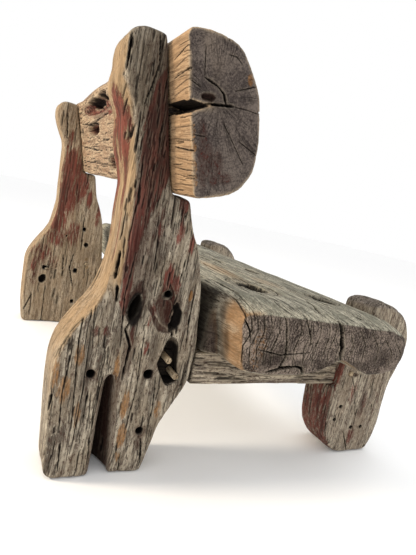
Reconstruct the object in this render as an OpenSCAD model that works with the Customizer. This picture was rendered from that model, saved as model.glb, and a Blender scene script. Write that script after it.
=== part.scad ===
// A heavy pegged seat of weathered timber. Two shaped upright boards carry a
// half-round headrest log on ledges. Rails run forward from the uprights to two
// front legs, and a thick seat slab lies on the rails between the uprights and
// the knobs of the legs.
// +Z is up, the seat faces -Y and X runs along the log. The origin is on the
// floor at the centre of the bounding box. Sizes are in millimetres.

/* [Seat frame] */
// Width over the outer faces of the uprights
span_w = 1140; // [1000:10:1300]
// Thickness of the boards that make the uprights and the legs
board_t = 116; // [100:2:130]
// How far the legs stand proud of the uprights, outward
leg_proud = 12; // [0:1:15]
// Length of the slab beyond each upright
slab_overhang = 120; // [60:5:160]
// Height of the uprights
upright_h = 908; // [900:1:915]

/* [Headrest] */
// Height of the log's lower back edge at the middle of the seat
log_base = 640; // [630:1:645]
// Backward lean of the log from the vertical, in degrees
recline = 13.5; // [12:0.5:16]
// Rise of the log towards its left end, in degrees
log_rise = 1.5; // [0:0.1:2]
// Length of the log beyond each upright
log_overhang = 100; // [60:5:140]
// Height of the log along its flat back
log_h = 272; // [250:2:280]
// Depth of the log in front of its flat back
log_d = 138; // [110:2:150]
// Height of the end kerf above the lower edge of the log
kerf_h = 160; // [140:1:180]
// Width of the end kerf
kerf_w = 18; // [10:1:24]
// Depth of the end kerf
kerf_d = 36; // [20:1:50]
// Length of the end kerf along the log
kerf_l = 130; // [80:5:180]

/* [Slab] */
// Height of the underside of the slab
slab_base = 290; // [285:1:295]
// Thickness of the slab at its back edge
slab_back_t = 158; // [130:2:170]
// Thickness of the slab at its front edge
slab_front_t = 140; // [110:2:150]

/* [Rails] */
// Height of the rails
rail_h = 80; // [70:1:84]
// Thickness of the rails
rail_t = 94; // [80:2:98]
// Thickness of the tenons
tenon_t = 40; // [30:1:46]
// Step between the faces of a rail and its tenons, above and below
tenon_step = 6; // [4:1:8]

/* [Pegs] */
// Diameter of the cross pegs
peg_d = 15; // [12:0.5:18]
// Diameter of the hidden dowels behind the log
dowel_d = 24; // [18:1:28]
// Radial gap between a peg and its bore
peg_gap = 0.1; // [0.05:0.05:0.3]

/* [Holes] */
// Side of the square spike holes
spike_w = 17; // [8:1:18]
// Height of the eye-shaped hole in each upright
eye_h = 66; // [50:2:80]
// Width of the eye-shaped hole
eye_w = 22; // [16:1:30]
// Lean of the eye-shaped hole towards the front, in degrees
eye_lean = 11; // [0:1:15]

/* [Hidden] */
$fn = 64;

log_l = span_w + 2 * log_overhang;
slab_l = span_w + 2 * slab_overhang;
board_x = (span_w - board_t) / 2; // centre plane of the left upright and rail
leg_x = board_x + leg_proud;      // centre plane of the left leg
cut_past = 1;                       // overshoot of every cutting tool

// Places along Y
ledge_y = 329;      // inner corner of the ledges, at the back of the log
rail_back_y = 193;  // shoulder of the rail against the upright
tenon_back_y = 285; // end of the back tenon
rail_front_y = -261; // shoulder of the rail against the leg
tenon_front_y = -330; // end of the front tenon
knob_y = -316;      // back face of the leg's knob, at the front of the slab
slab_back_y = 185;  // upper back edge of the slab
slab_rake = 35;     // how far the slab's back face leans in at its foot
ear_y = -368;       // front of the slab's ears, outside the legs
ear_x = span_w / 2 + leg_proud + 1;

// Heights of the rails and their tenons
rail_base = slab_base - rail_h;
tenon_base = rail_base + tenon_step;
tenon_h = rail_h - 2 * tenon_step;

// Pegs as [y, z]
back_pegs = [[236, 233], [260, 271]];
front_peg = [-300, 250];
dowel_up = 128;      // height of the dowels along the back of the log
dowel_in_log = 60;
dowel_in_board = 38;

// Outline of an upright as [y, z]: the front edge from below the ledge down, and
// the back edge from the floor up
ledge_tip_y = 284;
upright_front = [[266, 568], [239, 515], [219, 450], [206, 370], [195, 285],
                 [202, 215], [222, 165], [249, 115], [262, 65], [276, 0]];
upright_back = [[474, 0], [489, 16], [495, 90], [500, 195], [501, 262], [490, 305],
                [466, 348], [440, 386], [421, 440], [414, 512], [417, 600], [422, 735],
                [442, 786], [461, 828], [467, 865], [460, 895], [440, upright_h]];

// Outline of a leg as [y, z]: the back edge from the floor up to the rail, and
// the knob and front edge from the slab down
leg_back = [[-324, 0], [-292, 20], [-262, 62], [-248, 110], [-242, 160], [-240, rail_base]];
leg_front = [[knob_y, 444], [-326, 457], [-364, 461], [-408, 453], [-454, 429],
             [-489, 388], [-502, 340], [-494, 282], [-478, 215], [-475, 150],
             [-475, 90], [-468, 38], [-446, 0]];

// Openings in an upright as [y, z]
spike_holes = [[426, 237], [301, 238], [292, 420], [295, 101]];
eye_centre = [359, 386];
foot_slot = [[393, -cut_past], [391, 228], [376, 238], [354, -cut_past]];
broken_cheek = [[265, 329], [244, 310], [237, 262], [228, 222], [255, 212], [284, 262]];

// A point on the smooth curve between b and c, with a and d as their neighbours
function curve_point(a, b, c, d, t) =
    (2 * b + (c - a) * t + (2 * a - 5 * b + 4 * c - d) * t * t
     + (3 * b - a - 3 * c + d) * t * t * t) / 2;

// A smooth open curve through a list of points
function smooth(points, steps = 4) =
    let (last = len(points) - 1)
    [for (i = [0 : last - 1], s = [0 : steps - 1])
         curve_point(points[max(i - 1, 0)], points[i], points[i + 1],
                     points[min(i + 2, last)], s / steps),
     points[last]];

function unit(v) = v / norm(v);

// The arc that replaces the corner b of the path a, b, c
function corner(a, b, c, r, steps = 10) =
    let (to_a = unit(a - b), to_c = unit(c - b),
         half = acos(to_a * to_c) / 2,
         centre = b + unit(to_a + to_c) * r / sin(half),
         from = b + to_a * r / tan(half) - centre,
         to = b + to_c * r / tan(half) - centre,
         turn = atan2(from.x * to.y - from.y * to.x, from * to),
         start = atan2(from.y, from.x))
    [for (k = [0 : steps]) centre + r * [cos(start + turn * k / steps),
                                         sin(start + turn * k / steps)]];

// A closed outline with a radius at each corner
function rounded(points, radii) =
    let (n = len(points))
    [for (i = [0 : n - 1])
         each corner(points[(i + n - 1) % n], points[i], points[(i + 1) % n], radii[i])];

// Turns an outline in [y, z] into a solid from x to x + length
module along_x(x, length) {
    translate([x, 0, 0]) rotate([90, 0, 90]) linear_extrude(length) children();
}

// A box given by its lowest corner and its highest corner
module block(low, high) {
    translate(low) cube(high - low);
}

// A round bar along X, centred on the board at x = middle
module cross_bar(middle, place, radius, length) {
    translate([middle - length / 2, place.x, place.y]) rotate([0, 90, 0])
        cylinder(h = length, r = radius);
}

// Places its children in the frame of the leaning log, at its lower back edge
module on_log() {
    translate([0, ledge_y, log_base]) rotate([-recline, 0, 0]) rotate([0, -log_rise, 0])
        children();
}

// A dowel along the depth of the log, at x = middle
module dowel(middle, radius, in_log, in_board) {
    on_log() translate([middle, in_board, dowel_up]) rotate([90, 0, 0])
        cylinder(h = in_log + in_board, r = radius);
}

function reversed(points) = [for (i = [len(points) - 1 : -1 : 0]) points[i]];

// The board outline: ledge corner, up the back of the log, over the top, down
// the back edge, along the floor and up the front edge to the ledge's tip
module upright_outline(ledge_h) {
    back_of_log = function(z) ledge_y + (z - log_base) * tan(recline);
    difference() {
        polygon(concat([[back_of_log(ledge_h), ledge_h], [back_of_log(upright_h), upright_h]],
                       reversed(smooth(upright_back)),
                       reversed(smooth(concat([[ledge_tip_y, ledge_h]], upright_front)))));
        polygon(foot_slot);
    }
}

// The eye-shaped hole is what two overlapping circles share
module eye_outline() {
    r = (eye_h * eye_h / 4 + eye_w * eye_w / 4) / eye_w;
    translate(eye_centre) rotate(eye_lean) intersection() {
        translate([r - eye_w / 2, 0]) circle(r = r, $fn = 128);
        translate([eye_w / 2 - r, 0]) circle(r = r, $fn = 128);
    }
}

// An upright between x and x + board_t, with its ledge, mortise, bores and holes
module upright(x) {
    middle = x + board_t / 2;
    difference() {
        along_x(x, board_t) upright_outline(log_base + x * tan(log_rise));
        along_x(x - cut_past, board_t + 2 * cut_past) {
            eye_outline();
            for (place = spike_holes) translate(place) square(spike_w, center = true);
        }
        block([middle - tenon_t / 2, rail_back_y - 40, tenon_base],
              [middle + tenon_t / 2, tenon_back_y, tenon_base + tenon_h]);
        for (place = back_pegs)
            cross_bar(middle, place, peg_d / 2 + peg_gap, board_t + 2 * cut_past);
        dowel(middle, dowel_d / 2 + peg_gap, cut_past, dowel_in_board);
    }
}

module left_upright() {
    color("darkkhaki") upright(span_w / 2 - board_t);
}

// The right upright has lost the outer cheek of its mortise
module right_upright() {
    cheek = (board_t - tenon_t) / 2;
    color("darkkhaki") difference() {
        upright(-span_w / 2);
        along_x(-span_w / 2 - cut_past, cheek + 2 * cut_past) polygon(broken_cheek);
    }
}

// A split log: flat back, round front, and a kerf in its right end
module headrest_log() {
    color("tan") difference() {
        on_log() difference() {
            along_x(-log_l / 2, log_l)
                polygon(rounded([[0, 0], [0, log_h], [-log_d, log_h], [-log_d, 0]],
                                [8, 14, 112, 84]));
            block([-log_l / 2 - cut_past, -kerf_d, kerf_h - kerf_w / 2],
                  [-log_l / 2 + kerf_l, cut_past, kerf_h + kerf_w / 2]);
        }
        for (side = [-1, 1])
            dowel(side * board_x, dowel_d / 2 + peg_gap, dowel_in_log, cut_past);
    }
}

// The slab is notched for the knobs: an ear at each end reaches past the leg
module seat_slab() {
    ear_top = slab_base + slab_front_t - 6;
    color("gray") union() {
        along_x(-slab_l / 2, slab_l)
            polygon(rounded([[slab_back_y - slab_rake, slab_base],
                             [slab_back_y, slab_base + slab_back_t],
                             [knob_y + 8, slab_base + slab_front_t],
                             [knob_y, slab_base + slab_front_t / 2],
                             [knob_y + 14, slab_base]],
                            [22, 26, 14, 30, 14]));
        for (start = [4 - slab_l / 2, ear_x])
            along_x(start, slab_l / 2 - ear_x - 4)
                polygon(rounded([[knob_y + 60, slab_base + 3],
                                 [knob_y + 60, ear_top],
                                 [ear_y + 14, ear_top - 4],
                                 [ear_y, slab_base + slab_front_t / 2],
                                 [ear_y + 22, slab_base + 3]],
                                [4, 4, 20, 40, 24]));
    }
}

// The rail on the +X side with a tenon at each end
module rail() {
    tenon_low = [board_x - tenon_t / 2, tenon_front_y, tenon_base];
    tenon_high = [board_x + tenon_t / 2, tenon_back_y - cut_past, tenon_base + tenon_h];
    difference() {
        union() {
            block([board_x - rail_t / 2, rail_front_y, rail_base],
                  [board_x + rail_t / 2, rail_back_y, slab_base]);
            block(tenon_low, tenon_high);
        }
        for (place = concat(back_pegs, [front_peg]))
            cross_bar(board_x, place, peg_d / 2 + peg_gap, rail_t + 2 * cut_past);
    }
}

module left_rail() {
    color("wheat") rail();
}

module right_rail() {
    color("wheat") mirror([1, 0, 0]) rail();
}

// The leg on the +X side: the rail and the slab lie on its shoulders, and its
// knob stands up in front of the slab
module leg() {
    difference() {
        along_x(leg_x - board_t / 2, board_t)
            polygon(concat(smooth(leg_back),
                           [[rail_front_y, rail_base], [rail_front_y, slab_base],
                            [knob_y, slab_base]],
                           smooth(leg_front)));
        block([board_x - tenon_t / 2, tenon_front_y - cut_past, tenon_base],
              [board_x + tenon_t / 2, rail_front_y + cut_past, tenon_base + tenon_h]);
        cross_bar(leg_x, front_peg, peg_d / 2 + peg_gap, board_t + 2 * cut_past);
    }
}

module left_leg() {
    color("silver") leg();
}

module right_leg() {
    color("silver") mirror([1, 0, 0]) leg();
}

// Hidden dowels that hold the log against the uprights
module headrest_dowels() {
    color("burlywood")
        for (side = [-1, 1])
            dowel(side * board_x, dowel_d / 2, dowel_in_log - cut_past,
                  dowel_in_board - cut_past);
}

// Cross pegs through the back tenons
module rail_pegs() {
    color("beige")
        for (side = [-1, 1], place = back_pegs)
            cross_bar(side * board_x, place, peg_d / 2, board_t);
}

// Cross pegs through the front tenons
module leg_pegs() {
    color("beige")
        for (side = [-1, 1])
            cross_bar(side * leg_x, front_peg, peg_d / 2, board_t);
}

right_upright();
left_upright();
headrest_log();
seat_slab();
right_rail();
left_rail();
right_leg();
left_leg();
headrest_dowels();
rail_pegs();
leg_pegs();
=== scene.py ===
"""Weathered timber seat: two uprights, a log headrest, a thick slab, two rails and two legs.

Every timber is a dense copy of its CAD node. It is worn, cracked and hollowed here, in
millimetres, and each point keeps masks (cracks, paint, rust, end grain and so on) that the
wood materials read. Some masks are painted light: shade in cracks, holes and gaps, shade
under the log and beside the uprights, and sunlight on faces turned to the key.
"""

import bmesh
import bpy
import numpy as np
from mathutils import Matrix, Vector


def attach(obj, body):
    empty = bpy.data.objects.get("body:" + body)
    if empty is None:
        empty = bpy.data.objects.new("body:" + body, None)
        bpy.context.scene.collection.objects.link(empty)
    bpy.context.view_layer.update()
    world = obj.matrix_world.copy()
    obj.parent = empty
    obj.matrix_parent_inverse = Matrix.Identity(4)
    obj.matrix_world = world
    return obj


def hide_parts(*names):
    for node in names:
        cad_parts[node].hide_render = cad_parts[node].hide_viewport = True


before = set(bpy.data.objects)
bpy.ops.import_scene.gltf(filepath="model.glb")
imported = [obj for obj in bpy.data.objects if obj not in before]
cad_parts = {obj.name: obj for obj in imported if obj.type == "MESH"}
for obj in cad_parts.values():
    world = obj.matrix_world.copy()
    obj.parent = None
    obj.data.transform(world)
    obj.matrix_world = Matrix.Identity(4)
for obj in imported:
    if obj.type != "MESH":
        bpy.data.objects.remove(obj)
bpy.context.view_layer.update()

MM = 0.001
SEED = 41
# The crack mask is painted shade in cracks, holes and gaps; the warm mask is warmer wood and
# painted sunlight; the stain and dirt masks also carry painted shade.
MASKS = ("crack_shade", "paint", "rust", "warm_and_sunlit", "end", "stain_and_shade", "dirt_and_shade", "edge")


# ---------------------------------------------------------------- noise and shapes


class Noise:
    """Seeded gradient noise over any number of points."""

    def __init__(self, seed):
        rng = np.random.default_rng(seed)
        self.order = rng.permutation(256)
        slopes = rng.normal(size=(256, 3))
        self.slopes = slopes / np.linalg.norm(slopes, axis=1, keepdims=True)

    def at(self, points):
        cell = np.floor(points).astype(int)
        part = points - cell
        ease = part * part * part * (part * (part * 6 - 15) + 10)
        total = np.zeros(len(points))
        for corner in np.ndindex(2, 2, 2):
            c = (cell + corner) & 255
            pick = self.order[(self.order[(self.order[c[:, 0]] + c[:, 1]) & 255] + c[:, 2]) & 255]
            rise = ((part - corner) * self.slopes[pick]).sum(1)
            share = np.prod(np.where(corner, ease, 1 - ease), axis=1)
            total += rise * share
        return total * 1.7

    def layered(self, points, layers=3):
        total = np.zeros(len(points))
        for i in range(layers):
            total += self.at(points * 2**i + 17.3 * i) * 0.5**i
        return total


def fade(value, low, high):
    """0 at low, 1 at high, eased between."""
    t = np.clip((value - low) / (high - low), 0, 1)
    return t * t * (3 - 2 * t)


def along(points, path):
    """Distance of 2-D points from a polyline, and the nearest place's share (0 to 1) along it."""
    path = np.array(path, float)
    lengths = np.linalg.norm(np.diff(path, axis=0), axis=1)
    start = np.concatenate([[0], np.cumsum(lengths)])
    best = np.full(len(points), 1e9)
    where = np.zeros(len(points))
    for a, b, at, length in zip(path[:-1], path[1:], start, lengths):
        t = np.clip(((points - a) @ (b - a)) / length**2, 0, 1)
        d = np.linalg.norm(points - a - t[:, None] * (b - a), axis=1)
        near = d < best
        best = np.where(near, d, best)
        where = np.where(near, (at + t * length) / start[-1], where)
    return best, where


def inside(points, outline):
    """How deep 2-D points lie inside an outline; negative outside."""
    closed = list(outline) + [outline[0]]
    distance, _ = along(points, closed)
    hit = np.zeros(len(points), bool)
    y, z = points[:, 0], points[:, 1]
    for (y0, z0), (y1, z1) in zip(closed[:-1], closed[1:]):
        if z0 != z1:
            crosses = (z0 > z) != (z1 > z)
            hit ^= crosses & (y < (y1 - y0) * (z - z0) / (z1 - z0) + y0)
    return np.where(hit, distance, -distance)


# ---------------------------------------------------------------- sculpting


def linked(name, data):
    """A new object in the scene."""
    obj = bpy.data.objects.new(name, data)
    bpy.context.scene.collection.objects.link(obj)
    return obj


def dense_copy(node, voxel):
    """A new object with the CAD node's shape in small even quads."""
    copy = linked(node + "_timber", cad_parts[node].data.copy())
    remesh = copy.modifiers.new("even_quads", "REMESH")
    remesh.mode = "VOXEL"
    remesh.voxel_size = voxel * MM
    depsgraph = bpy.context.evaluated_depsgraph_get()
    mesh = bpy.data.meshes.new_from_object(copy.evaluated_get(depsgraph))
    copy.modifiers.clear()
    copy.data = mesh
    return copy


class Timber:
    """One timber being sculpted, in millimetres in its own frame, with its grain along one axis."""

    def __init__(self, node, voxel, grain, seed, place=None):
        self.node = node
        self.grain = grain
        self.seed = SEED + seed
        self.noise = Noise(self.seed)
        self.rng = np.random.default_rng(self.seed)
        self.place = place or Matrix()
        self.knots = ()
        self.obj = dense_copy(node, voxel)
        self.spacing = voxel
        self.read()

    def read(self):
        """Takes the points, triangles and edges from the mesh, with all masks at zero."""
        mesh = self.obj.data
        co = np.empty(len(mesh.vertices) * 3)
        mesh.vertices.foreach_get("co", co)
        turn = np.array(self.place.inverted())
        self.co = co.reshape(-1, 3) / MM @ turn[:3, :3].T + turn[:3, 3]
        mesh.calc_loop_triangles()
        corners = np.empty(len(mesh.loop_triangles) * 3, int)
        mesh.loop_triangles.foreach_get("vertices", corners)
        self.triangles = corners.reshape(-1, 3)
        pairs = np.empty(len(mesh.edges) * 2, int)
        mesh.edges.foreach_get("vertices", pairs)
        self.pairs = pairs.reshape(-1, 2)
        self.count = np.bincount(pairs, minlength=len(self.co)).astype(float)[:, None]
        self.masks = {name: np.zeros(len(self.co)) for name in MASKS}
        self.low, self.high = self.co.min(0), self.co.max(0)
        self.find_normals()

    def write(self):
        turn = np.array(self.place)
        placed = (self.co @ turn[:3, :3].T + turn[:3, 3]) * MM
        self.obj.data.vertices.foreach_set("co", placed.ravel())
        self.obj.data.update()

    def refine(self, chosen, cuts=1):
        """Splits the quads around the chosen points, where the timber is looked at closely."""
        self.write()
        mesh = bmesh.new()
        mesh.from_mesh(self.obj.data)
        edges = [e for e in mesh.edges if chosen[e.verts[0].index] and chosen[e.verts[1].index]]
        bmesh.ops.subdivide_edges(mesh, edges=edges, cuts=cuts, use_grid_fill=True)
        mesh.to_mesh(self.obj.data)
        mesh.free()
        self.spacing /= cuts + 1
        self.read()
        self.smooth(2)

    def find_normals(self):
        a, b, c = (self.co[self.triangles[:, i]] for i in range(3))
        face = np.cross(b - a, c - a)
        total = np.zeros_like(self.co)
        for axis in range(3):
            for i in range(3):
                total[:, axis] += np.bincount(self.triangles[:, i], face[:, axis], len(self.co))
        self.area = np.linalg.norm(total, axis=1)
        self.normal = total / np.maximum(self.area[:, None], 1e-9)

    def averaged(self, values):
        a, b = self.pairs[:, 0], self.pairs[:, 1]
        total = np.empty_like(values)
        for axis in range(values.shape[1]):
            column = values[:, axis]
            total[:, axis] = np.bincount(a, column[b], len(column))
            total[:, axis] += np.bincount(b, column[a], len(column))
        return total / self.count

    def smooth(self, rounds, share=None):
        """Wears the edges; share (0 to 1 for each point) says where."""
        step = 0.5 if share is None else 0.5 * share[:, None]
        for _ in range(rounds):
            self.co += step * (self.averaged(self.co) - self.co)
        self.find_normals()

    def refit(self):
        """Brings a worn timber back to the box it had before wear."""
        low, high = self.co.min(0), self.co.max(0)
        self.co = (self.co - low) / (high - low) * (self.high - self.low) + self.low
        self.find_normals()

    def push(self, amount):
        """Moves points outwards by amount, in millimetres."""
        self.co += self.normal * amount[:, None]

    def facing(self, face):
        return fade(self.normal @ np.asarray(face, float), 0.25, 0.6)

    def flat(self, face):
        """The two coordinates seen when looking straight at a face."""
        axis = int(np.argmax(np.abs(face)))
        return self.co[:, [i for i in range(3) if i != axis]]

    def grain_points(self, along_grain, across):
        """Points scaled for noise that is long along the grain and short across it."""
        scale = np.full(3, 1 / across)
        scale[self.grain] = 1 / along_grain
        return self.bent() * scale

    def bent(self):
        """Coordinates whose cross-grain lines wander a little and part around knots."""
        co = self.co.copy()
        slow = np.full(3, 1 / 260.0)
        for k, axis in enumerate(i for i in range(3) if i != self.grain):
            co[:, axis] += 9 * self.noise.at(self.co * slow + 31.7 * (k + 1))
        for centre, size, axis in self.knots:
            gap = self.co[:, axis] - centre[1]
            reach = ((self.co[:, self.grain] - centre[0]) / (2.4 * size)) ** 2 + (gap / size) ** 2
            co[:, axis] -= gap * 0.75 * np.exp(-reach)
        return co

    def weather(self, wave=3.0, ridge=0.9):
        """Slow waves over the whole surface and raised grain along it."""
        self.push(wave * self.noise.layered(self.grain_points(190, 75), 2))
        self.find_normals()
        lines = self.noise.layered(self.grain_points(110, 9), 2)
        coarse = self.noise.at(self.grain_points(300, 22))
        across_grain = np.abs(self.normal[:, self.grain])
        open_grain = 1 - across_grain
        self.mark("end", fade(across_grain, 0.6, 0.8))
        self.push((ridge * lines + 0.9 * ridge * coarse) * open_grain)
        self.find_normals()

    def mark(self, name, amount):
        self.masks[name] = np.maximum(self.masks[name], np.clip(amount, 0, 1))

    def groove(self, face, path, width, depth, dark=1.0, name="crack_shade"):
        """A split along a path drawn on a face, tapering to both ends, with painted shade inside it
        by default.
        """
        points = self.flat(face)
        path = np.asarray(path, float)
        margin = 2 * width + 4
        near = np.all((points > path.min(0) - margin) & (points < path.max(0) + margin), axis=1)
        near &= self.facing(face) > 0.05
        chosen = np.flatnonzero(near)
        if not len(chosen):
            return
        wobble = self.noise.at(self.co[chosen] / 20 + 5.1) * width * 0.3
        distance, where = along(points[chosen], path)
        taper = np.sqrt(np.clip(np.minimum(where, 1 - where) * 5 + 0.12, 0, 1))
        reach = np.maximum((width * 0.5 + wobble) * taper, self.spacing * 0.5)
        profile = 1 - fade(distance, reach * 0.4, reach * 1.4 + 0.3)
        profile *= self.facing(face)[chosen]
        self.co[chosen] -= self.normal[chosen] * (depth * taper * profile)[:, None]
        shade = fade(profile, 0.0, 1 / (1 + depth / 5))
        self.masks[name][chosen] = np.maximum(self.masks[name][chosen], dark * taper**0.5 * shade)

    def checks(self, face, count, length, width=1.4, depth=2.2, keep=None):
        """Random drying checks that follow the grain of a face, with painted shade inside; keep
        says where they may start.
        """
        axis = int(np.argmax(np.abs(face)))
        rest = [i for i in range(3) if i != axis]
        grain = rest.index(self.grain)
        candidates = np.flatnonzero((self.facing(face) > 0.9) & (True if keep is None else keep))
        share = self.area[candidates] / self.area[candidates].sum()
        for start in self.rng.choice(candidates, count, p=share):
            reach = length * self.rng.uniform(0.4, 1.2)
            steps = np.linspace(-0.5, 0.5, 7) * reach
            path = np.tile(self.co[start][rest], (7, 1))
            path[:, grain] += steps
            path[:, 1 - grain] += np.cumsum(self.rng.normal(0, reach * 0.012, 7))
            wide = width * self.rng.uniform(0.6, 1.3)
            deep = depth * self.rng.uniform(0.5, 1.3)
            self.groove(face, path, wide, deep, dark=self.rng.uniform(0.3, 0.95))

    def grooves(self, face, rows):
        """Cracks on one face, given as (path, width, depth)."""
        for path, width, depth in rows:
            self.groove(face, path, width, depth)

    def pit(self, face, centre, radii, depth, name="crack_shade", dark=1.0, lean=0.0, rim=0.55):
        """A hole or hollow, with painted shade in its bowl by default. lean turns its ellipse, in
        degrees; a rim near 1 has steep walls.
        """
        points = self.flat(face) - centre
        c, s = np.cos(np.radians(lean)), np.sin(np.radians(lean))
        turned = points @ np.array([[c, -s], [s, c]])
        rough = 1 + 0.18 * self.noise.at(self.co / 11 + 2.2)
        reach = np.linalg.norm(turned / radii, axis=1) * rough
        bowl = (1 - fade(reach, rim, 1.1)) * self.facing(face)
        self.push(-depth * bowl)
        self.mark(name, dark * fade(bowl, 0, 0.35))

    def spot(self, name, face, centre, radii, strength=1.0):
        """Colour only: a soft ellipse of one mask on a face."""
        points = self.flat(face) - centre
        reach = np.linalg.norm(points / radii, axis=1)
        self.mark(name, strength * (1 - fade(reach, 0.4, 1.25)) * self.facing(face))

    def spots(self, name, face, rows, strength=1.0):
        """Spots of one mask on one face, given as (centre, radii) or (centre, radii, strength)."""
        for row in rows:
            centre, radii, amount = (*row, strength)[:3]
            self.spot(name, face, centre, radii, amount)

    def hollow(self, face, outline, depth, soft, name="stain_and_shade", strength=0.7):
        """A scooped area inside an outline."""
        deep = fade(inside(self.flat(face), outline), 0, soft) * self.facing(face)
        self.push(-depth * deep)
        self.mark(name, strength * deep)

    def band(self, name, face, left, right, soft=7.0, strength=1.0):
        """Colour between two edges that run along the grain, each of (across, along) points."""
        points = self.flat(face)
        left = np.array(sorted(left, key=lambda p: p[1]))
        right = np.array(sorted(right, key=lambda p: p[1]))
        a = np.interp(points[:, 1], left[:, 1], left[:, 0])
        b = np.interp(points[:, 1], right[:, 1], right[:, 0])
        low, high = np.minimum(a, b), np.maximum(a, b)
        within = fade(points[:, 0], low - soft, low + soft)
        within = within * (1 - fade(points[:, 0], high - soft, high + soft))
        span = fade(points[:, 1], left[0, 1] - 30, left[0, 1] + 40)
        span *= 1 - fade(points[:, 1], left[-1, 1] - 20, left[-1, 1] + 20)
        self.mark(name, strength * within * span * self.facing(face))

    def find_relief(self):
        """Marks hollows for dirt and proud edges for wear, from the finished shape."""
        base = self.co.copy()
        for _ in range(5):
            base += 0.5 * (self.averaged(base) - base)
        proud = ((self.co - base) * self.normal).sum(1)
        self.mark("dirt_and_shade", -proud / 1.1)
        self.mark("edge", proud / 1.4)

    def finish(self, material):
        """Writes the shape and masks to the mesh and hands the piece to the frame."""
        self.find_normals()
        self.find_relief()
        self.write()
        mesh = self.obj.data
        bent = self.bent() * MM
        order = [self.grain] + [i for i in range(3) if i != self.grain]
        wood = mesh.attributes.new("wood", "FLOAT_VECTOR", "POINT")
        wood.data.foreach_set("vector", bent[:, order].ravel())
        for name in MASKS:
            layer = mesh.attributes.new(name, "FLOAT", "POINT")
            layer.data.foreach_set("value", np.clip(self.masks[name], 0, 1))
        mesh.update()
        mesh.polygons.foreach_set("use_smooth", np.ones(len(mesh.polygons), bool))
        mesh.materials.clear()
        mesh.materials.append(material)
        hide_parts(self.node)
        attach(self.obj, "root")
        return self.obj


# ---------------------------------------------------------------- materials


class Shader:
    """A material whose nodes are made by short calls."""

    def __init__(self, name):
        self.material = bpy.data.materials.new(name)
        self.material.use_nodes = True
        self.tree = self.material.node_tree
        self.tree.nodes.clear()

    def node(self, kind, inputs=(), **settings):
        made = self.tree.nodes.new(kind)
        for key, value in settings.items():
            setattr(made, key, value)
        for key, value in dict(inputs).items():
            if isinstance(value, bpy.types.NodeSocket):
                self.tree.links.new(value, made.inputs[key])
            else:
                made.inputs[key].default_value = value
        return made

    def mask(self, name):
        return self.node("ShaderNodeAttribute", attribute_name=name).outputs["Fac"]

    def math(self, operation, a, b=0.0, clamp=False):
        made = self.node("ShaderNodeMath", {0: a, 1: b}, operation=operation, use_clamp=clamp)
        return made.outputs[0]

    def times(self, a, b):
        return self.math("MULTIPLY", a, b)

    def plus(self, a, b):
        return self.math("ADD", a, b)

    def minus(self, a, b):
        return self.math("SUBTRACT", a, b)

    def mixed(self, a, share_a, b, share_b):
        return self.plus(self.times(a, share_a), self.times(b, share_b))

    def blend(self, share, a, b):
        made = self.node("ShaderNodeMix", {0: share, 6: a, 7: b}, data_type="RGBA")
        return made.outputs[2]

    def noise(self, vector, scale, detail, **more):
        inputs = {"Vector": vector, "Scale": scale, "Detail": detail, **more}
        return self.node("ShaderNodeTexNoise", inputs).outputs["Fac"]

    def remap(self, value, low, high, to_low=0.0, to_high=1.0):
        made = self.node("ShaderNodeMapRange", {"Value": value, "From Min": low, "From Max": high,
                                                "To Min": to_low, "To Max": to_high},
                         interpolation_type="SMOOTHSTEP")
        return made.outputs["Result"]

    def grain_noise(self, wood, along_grain, across, detail=3.0, rough=0.6, offset=0.0):
        """Noise stretched along the grain; both sizes are in millimetres."""
        scale = (1000 / along_grain, 1000 / across, 1000 / across)
        inputs = {"Vector": wood, "Location": (offset,) * 3, "Scale": scale}
        stretched = self.node("ShaderNodeMapping", inputs)
        return self.noise(stretched.outputs[0], 1.0, detail, Roughness=rough)

    def surface(self, colour, roughness, **more):
        """Ends the material in a dull surface with hardly any sheen."""
        base = self.node("ShaderNodeBsdfPrincipled", {"Base Color": colour, "Roughness": roughness,
                                                      "Specular IOR Level": 0.1, **more})
        self.node("ShaderNodeOutputMaterial", {"Surface": base.outputs[0]})
        return self.material


def rgb(red, green, blue):
    """An sRGB colour, 0 to 255, as the linear colour a shader takes."""
    linear = [((c / 255 + 0.055) / 1.055) ** 2.4 for c in (red, green, blue)]
    return (*linear, 1.0)


SPECK = rgb(70, 50, 42)
LINE = rgb(50, 40, 35)
END_CHECK = rgb(34, 27, 24)
RUST_DARK, RUST_PALE = rgb(104, 70, 40), rgb(158, 112, 62)
PAINT_DARK, PAINT_PALE = rgb(68, 29, 26), rgb(117, 53, 45)
# STAIN_AND_SHADE and DIRT_AND_SHADE also serve as painted shade, and CRACK_SHADE is painted shade
# in cracks, holes and gaps.
STAIN_AND_SHADE = rgb(54, 29, 23)
DIRT_AND_SHADE = rgb(46, 37, 32)
RUBBED = rgb(206, 192, 166)
CRACK_SHADE = rgb(18, 14, 12)


def darker(colour, share):
    """A shader colour with its light cut to a share."""
    return tuple(c * share for c in colour[:3]) + (1.0,)


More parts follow.
